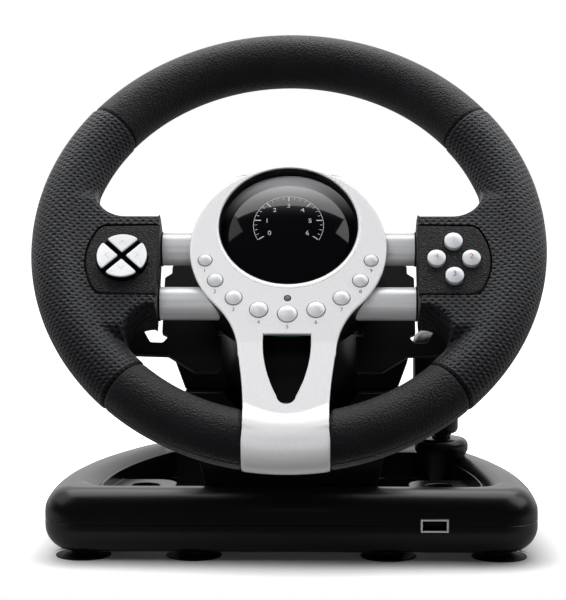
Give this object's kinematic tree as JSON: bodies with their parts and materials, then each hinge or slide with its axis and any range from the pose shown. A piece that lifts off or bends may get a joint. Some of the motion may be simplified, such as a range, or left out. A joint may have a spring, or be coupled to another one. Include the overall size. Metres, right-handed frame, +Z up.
{
  "type": "racing wheel",
  "caption": "Table-top racing wheel with leather rim, domed hub with buttons, shift paddles and a stick shifter, on a looped base with suction cups.",
  "frame": {"origin": "bottom centre of the bounding box, on the table under the suction cups", "axes": "+Z up, -Y towards the driver, +X to the driver's right"},
  "size_m": [0.26, 0.3078, 0.2736],
  "materials": {
    "leather_smooth": "fine-grained smooth leather",
    "leather_perforated": "perforated leather on the grips",
    "satin_silver": "satin silver paint on plastic",
    "gloss_black": "gloss black",
    "shell_black": "semi-gloss moulded black",
    "matt_black": "fine-textured moulded black",
    "satin_tube": "satin aluminium",
    "pad_face": "charcoal with a moulded leather grain",
    "button_silver": "satin silver with small grey marks",
    "key_white": "gloss white cap on a black stem",
    "key_pearl": "pearl silver with a coloured mark",
    "light_red": "clear red",
    "rubber_black": "soft moulded rubber",
    "mat_grey": "translucent grey silicone rubber",
    "board_green": "green circuit board",
    "steel": "zinc-plated",
    "bronze": "sintered bronze",
    "gear_white": "natural acetal",
    "port_metal": "nickel-plated"
  },
  "bodies": {
    "base": {"base_upper_shell": "shell_black", "base_lower_shell": "shell_black", "column_lower_shell": "shell_black", "column_upper_shell": "shell_black", "shaft_bearings": "bronze", "centring_spring": "steel", "pot_body": "matt_black", "main_board": "board_green", "usb_socket": "port_metal", "pedal_socket": "matt_black", "cord_gland": "rubber_black", "suction_cups": "rubber_black", "base_screws": "steel", "shifter_boss": "shell_black"},
    "wheel": {"rim_front_shell": "matt_black", "rim_rear_shell": "matt_black", "rim_wrap_top": "leather_smooth", "rim_wraps_lower": "leather_smooth", "grip_left": "leather_perforated", "grip_right": "leather_perforated", "pad_left": "pad_face", "pad_right": "pad_face", "faceplate": "satin_silver", "hub_rear_cover": "shell_black", "dome_lens": "gloss_black", "dome_bezel": "matt_black", "status_light": "light_red", "spoke_tubes": "satin_tube", "spoke_collars": "matt_black", "wheel_boards": "board_green", "button_mats": "mat_grey", "rumble_motors": "steel", "paddle_pins": "steel", "steering_shaft": "steel", "shaft_gear": "gear_white", "wheel_screws": "steel"},
    "hub_button_1": {"hub_button_1": "button_silver"},
    "hub_button_2": {"hub_button_2": "button_silver"},
    "hub_button_3": {"hub_button_3": "button_silver"},
    "hub_button_4": {"hub_button_4": "button_silver"},
    "hub_button_5": {"hub_button_5": "button_silver"},
    "hub_button_6": {"hub_button_6": "button_silver"},
    "hub_button_7": {"hub_button_7": "button_silver"},
    "hub_button_8": {"hub_button_8": "button_silver"},
    "hub_button_9": {"hub_button_9": "button_silver"},
    "dpad_up": {"dpad_up": "key_white"},
    "dpad_down": {"dpad_down": "key_white"},
    "dpad_left": {"dpad_left": "key_white"},
    "dpad_right": {"dpad_right": "key_white"},
    "action_top": {"action_top": "key_pearl"},
    "action_left": {"action_left": "key_pearl"},
    "action_right": {"action_right": "key_pearl"},
    "action_bottom": {"action_bottom": "key_pearl"},
    "paddle_left": {"paddle_left": "matt_black"},
    "paddle_right": {"paddle_right": "matt_black"},
    "rumble_weight_left": {"rumble_weight_left": "steel"},
    "rumble_weight_right": {"rumble_weight_right": "steel"},
    "pot": {"pot_gear": "gear_white"},
    "shifter": {"shift_lever": "matt_black", "shift_knob": "shell_black"}
  },
  "joints": [
    {"name": "wheel_turn", "type": "hinge", "parent": "base", "child": "wheel", "pos_m": [0, -0.07261, 0.171], "axis": [0, -0.7986, 0.6018], "range_deg": [-90, 90], "stiffness_Nm_per_rad": 0.4},
    {"name": "hub_button_1_press", "type": "slide", "parent": "wheel", "child": "hub_button_1", "axis": [0, 0.7986, -0.6018], "range_m": [0, 0.001], "stiffness_N_per_m": 800, "springref_m": -0.0005},
    {"name": "hub_button_2_press", "type": "slide", "parent": "wheel", "child": "hub_button_2", "axis": [0, 0.7986, -0.6018], "range_m": [0, 0.001], "stiffness_N_per_m": 800, "springref_m": -0.0005},
    {"name": "hub_button_3_press", "type": "slide", "parent": "wheel", "child": "hub_button_3", "axis": [0, 0.7986, -0.6018], "range_m": [0, 0.001], "stiffness_N_per_m": 800, "springref_m": -0.0005},
    {"name": "hub_button_4_press", "type": "slide", "parent": "wheel", "child": "hub_button_4", "axis": [0, 0.7986, -0.6018], "range_m": [0, 0.001], "stiffness_N_per_m": 800, "springref_m": -0.0005},
    {"name": "hub_button_5_press", "type": "slide", "parent": "wheel", "child": "hub_button_5", "axis": [0, 0.7986, -0.6018], "range_m": [0, 0.001], "stiffness_N_per_m": 800, "springref_m": -0.0005},
    {"name": "hub_button_6_press", "type": "slide", "parent": "wheel", "child": "hub_button_6", "axis": [0, 0.7986, -0.6018], "range_m": [0, 0.001], "stiffness_N_per_m": 800, "springref_m": -0.0005},
    {"name": "hub_button_7_press", "type": "slide", "parent": "wheel", "child": "hub_button_7", "axis": [0, 0.7986, -0.6018], "range_m": [0, 0.001], "stiffness_N_per_m": 800, "springref_m": -0.0005},
    {"name": "hub_button_8_press", "type": "slide", "parent": "wheel", "child": "hub_button_8", "axis": [0, 0.7986, -0.6018], "range_m": [0, 0.001], "stiffness_N_per_m": 800, "springref_m": -0.0005},
    {"name": "hub_button_9_press", "type": "slide", "parent": "wheel", "child": "hub_button_9", "axis": [0, 0.7986, -0.6018], "range_m": [0, 0.001], "stiffness_N_per_m": 800, "springref_m": -0.0005},
    {"name": "dpad_up_press", "type": "slide", "parent": "wheel", "child": "dpad_up", "axis": [0, 0.7986, -0.6018], "range_m": [0, 0.001], "stiffness_N_per_m": 800, "springref_m": -0.0005},
    {"name": "dpad_down_press", "type": "slide", "parent": "wheel", "child": "dpad_down", "axis": [0, 0.7986, -0.6018], "range_m": [0, 0.001], "stiffness_N_per_m": 800, "springref_m": -0.0005},
    {"name": "dpad_left_press", "type": "slide", "parent": "wheel", "child": "dpad_left", "axis": [0, 0.7986, -0.6018], "range_m": [0, 0.001], "stiffness_N_per_m": 800, "springref_m": -0.0005},
    {"name": "dpad_right_press", "type": "slide", "parent": "wheel", "child": "dpad_right", "axis": [0, 0.7986, -0.6018], "range_m": [0, 0.001], "stiffness_N_per_m": 800, "springref_m": -0.0005},
    {"name": "action_top_press", "type": "slide", "parent": "wheel", "child": "action_top", "axis": [0, 0.7986, -0.6018], "range_m": [0, 0.001], "stiffness_N_per_m": 800, "springref_m": -0.0005},
    {"name": "action_left_press", "type": "slide", "parent": "wheel", "child": "action_left", "axis": [0, 0.7986, -0.6018], "range_m": [0, 0.001], "stiffness_N_per_m": 800, "springref_m": -0.0005},
    {"name": "action_right_press", "type": "slide", "parent": "wheel", "child": "action_right", "axis": [0, 0.7986, -0.6018], "range_m": [0, 0.001], "stiffness_N_per_m": 800, "springref_m": -0.0005},
    {"name": "action_bottom_press", "type": "slide", "parent": "wheel", "child": "action_bottom", "axis": [0, 0.7986, -0.6018], "range_m": [0, 0.001], "stiffness_N_per_m": 800, "springref_m": -0.0005},
    {"name": "paddle_right_pull", "type": "hinge", "parent": "wheel", "child": "paddle_right", "pos_m": [0.033, -0.06366, 0.14134], "axis": [0, -0.6018, -0.7986], "range_deg": [0, 4], "stiffness_Nm_per_rad": 2, "springref_deg": -1.72},
    {"name": "paddle_left_pull", "type": "hinge", "parent": "wheel", "child": "paddle_left", "pos_m": [-0.033, -0.06366, 0.14134], "axis": [0, 0.6018, 0.7986], "range_deg": [0, 4], "stiffness_Nm_per_rad": 2, "springref_deg": -1.72},
    {"name": "rumble_right_spin", "type": "hinge", "parent": "wheel", "child": "rumble_weight_right", "pos_m": [0.084, -0.08059, 0.1541], "axis": [0, 0.6018, 0.7986], "continuous": true},
    {"name": "rumble_left_spin", "type": "hinge", "parent": "wheel", "child": "rumble_weight_left", "pos_m": [-0.084, -0.08059, 0.1541], "axis": [0, 0.6018, 0.7986], "continuous": true},
    {"name": "pot_turn", "type": "hinge", "parent": "base", "child": "pot", "pos_m": [0.02, -0.07261, 0.171], "axis": [0, -0.7986, 0.6018], "range_deg": [-136, 136]},
    {"name": "shifter_rock", "type": "hinge", "parent": "base", "child": "shifter", "pos_m": [0.08446, 0.09539, 0.042], "axis": [-1, 0, 0], "range_deg": [-12, 12], "stiffness_Nm_per_rad": 0.8}
  ],
  "couplings": [
    {"joint": "pot_turn", "follows": "wheel_turn", "ratio": -1.5}
  ]
}
